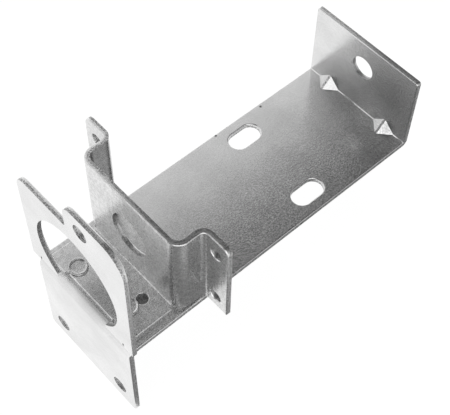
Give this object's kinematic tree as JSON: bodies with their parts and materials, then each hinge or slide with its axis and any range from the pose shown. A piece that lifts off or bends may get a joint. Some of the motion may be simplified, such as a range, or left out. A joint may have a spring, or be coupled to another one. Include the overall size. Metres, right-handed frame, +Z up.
{
  "type": "ball popper bracket",
  "caption": "Plated folded-steel bracket: a long strip with a turned-down front plate and a square end plate, and a riveted ring plate with a hat-shaped coil mount.",
  "frame": {"origin": "on the flat front face, midway between the two screw holes of the front plate", "axes": "+X back along the base to the end plate, +Y to the bracket's left, +Z up"},
  "size_m": [0.1031, 0.0546, 0.0795],
  "materials": {
    "plated_sheet": "bright zinc plating over cold-rolled steel sheet",
    "plated_rivet": "bright zinc plating over steel"
  },
  "bodies": {
    "root": {"coil_frame": "plated_sheet", "ball_ring_bracket": "plated_sheet", "foot_rivets": "plated_rivet"}
  },
  "joints": []
}
